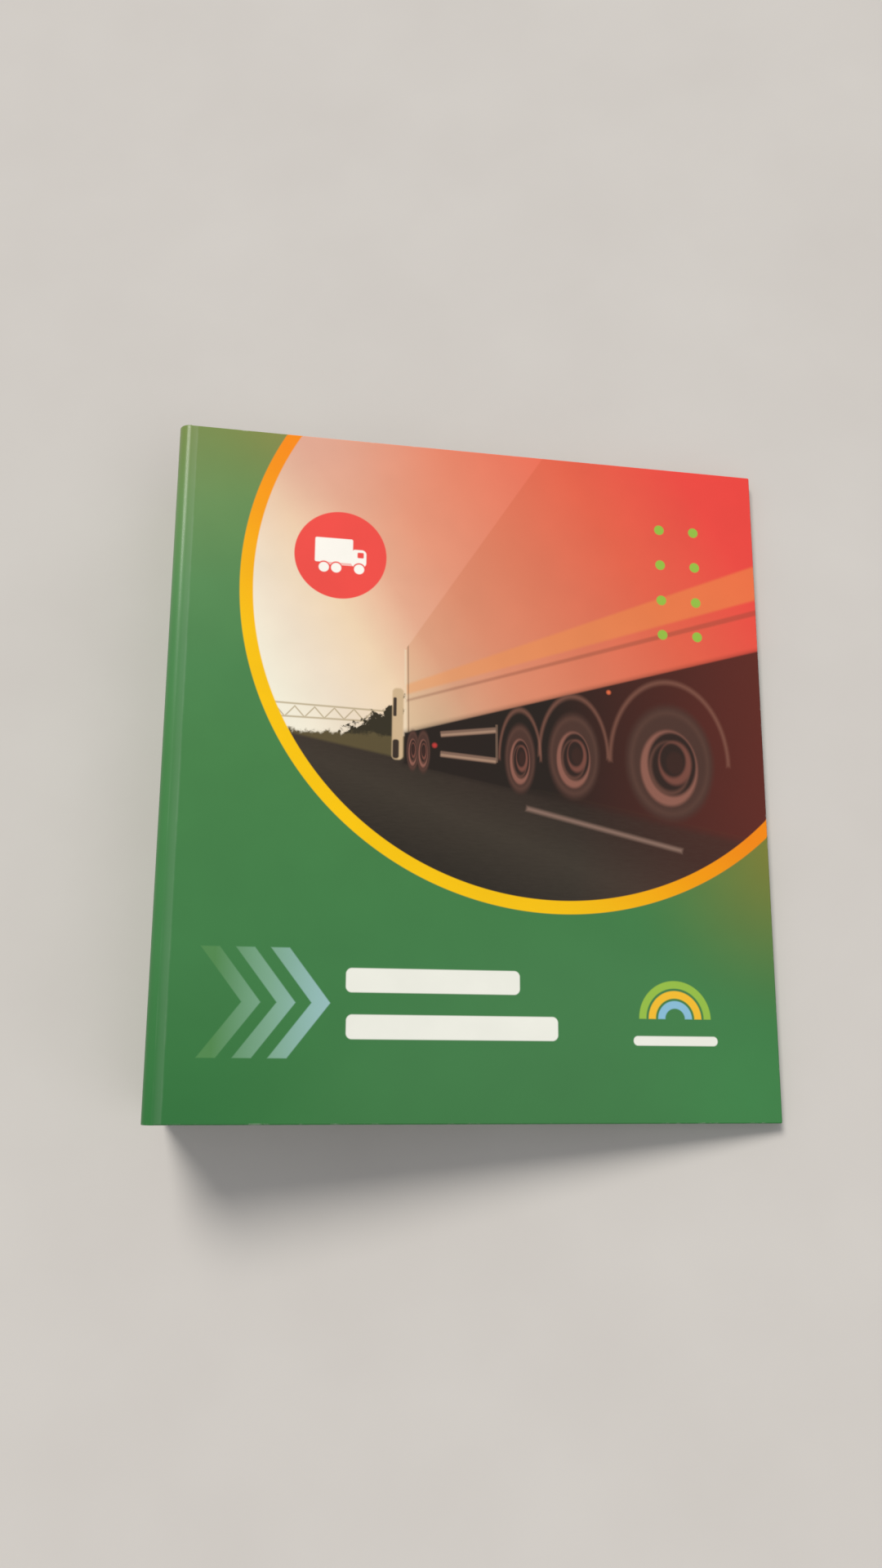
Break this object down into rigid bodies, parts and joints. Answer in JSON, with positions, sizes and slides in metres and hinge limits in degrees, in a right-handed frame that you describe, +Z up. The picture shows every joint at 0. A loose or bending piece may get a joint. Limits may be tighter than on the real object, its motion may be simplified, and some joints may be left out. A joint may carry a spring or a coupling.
{
  "type": "ring binder",
  "caption": "A4 ring binder in printed laminated board, closed and wedge shaped on its back cover, with a D-ring mechanism inside that opens by end levers.",
  "frame": {"origin": "on the table under the middle of the closed binder, at the bottom centre of its box", "axes": "+X from the spine to the fore-edge, +Y up the page from tail to head, +Z up off the table, out of the back cover's outer face towards the front cover"},
  "size_m": [0.2844, 0.318, 0.0626],
  "materials": {
    "printed_wrap": "satin",
    "grey_board": "matte",
    "inner_liner": "matte",
    "plated_sheet": "satin",
    "plated_wire": "gloss"
  },
  "bodies": {
    "back_cover": {"back_board": "grey_board", "back_wrap": "printed_wrap", "back_liner": "inner_liner", "ring_housing": "plated_sheet", "top_mount_rivet": "plated_wire", "bottom_mount_rivet": "plated_wire", "top_lever_pin": "plated_wire", "bottom_lever_pin": "plated_wire"},
    "spine": {"spine_board": "grey_board", "spine_wrap": "printed_wrap", "spine_liner": "inner_liner", "back_hinge_wrap": "printed_wrap", "back_hinge_liner": "inner_liner", "front_hinge_wrap": "printed_wrap", "front_hinge_liner": "inner_liner"},
    "front_cover": {"front_board": "grey_board", "front_wrap": "printed_wrap", "front_liner": "inner_liner"},
    "spine_side_rings": {"spine_side_blade": "plated_sheet", "ring_1_spine_half": "plated_wire", "ring_2_spine_half": "plated_wire", "ring_3_spine_half": "plated_wire", "ring_4_spine_half": "plated_wire"},
    "page_side_rings": {"page_side_blade": "plated_sheet", "ring_1_page_half": "plated_wire", "ring_2_page_half": "plated_wire", "ring_3_page_half": "plated_wire", "ring_4_page_half": "plated_wire"},
    "top_lever": {"top_lever": "plated_sheet"},
    "bottom_lever": {"bottom_lever": "plated_sheet"}
  },
  "joints": [
    {"name": "back_hinge", "type": "hinge", "parent": "back_cover", "child": "spine", "pos_m": [-0.14131, 0, 0.00132], "axis": [0, -1, 0], "range_deg": [0, 95.24], "deforming": ["back_hinge_wrap", "back_hinge_liner"]},
    {"name": "front_hinge", "type": "hinge", "parent": "spine", "child": "front_cover", "pos_m": [-0.13573, 0, 0.06213], "axis": [0, -1, 0], "range_deg": [0, 96.42], "deforming": ["front_hinge_wrap", "front_hinge_liner"]},
    {"name": "ring_opening", "type": "hinge", "parent": "back_cover", "child": "spine_side_rings", "pos_m": [-0.12222, 0, 0.0072], "axis": [0, -1, 0], "range_deg": [0, 15]},
    {"name": "page_side_ring_hinge", "type": "hinge", "parent": "back_cover", "child": "page_side_rings", "pos_m": [-0.08722, 0, 0.0072], "axis": [0, 1, 0], "range_deg": [0, 15]},
    {"name": "top_lever_hinge", "type": "hinge", "parent": "back_cover", "child": "top_lever", "pos_m": [-0.10472, 0.138, 0.0074], "axis": [-1, 0, 0], "range_deg": [0, 25]},
    {"name": "bottom_lever_hinge", "type": "hinge", "parent": "back_cover", "child": "bottom_lever", "pos_m": [-0.10472, -0.138, 0.0074], "axis": [1, 0, 0], "range_deg": [0, 25]}
  ],
  "couplings": [
    {"joint": "page_side_ring_hinge", "follows": "ring_opening", "ratio": 1},
    {"joint": "top_lever_hinge", "follows": "ring_opening", "ratio": 1.6667},
    {"joint": "bottom_lever_hinge", "follows": "ring_opening", "ratio": 1.6667}
  ]
}
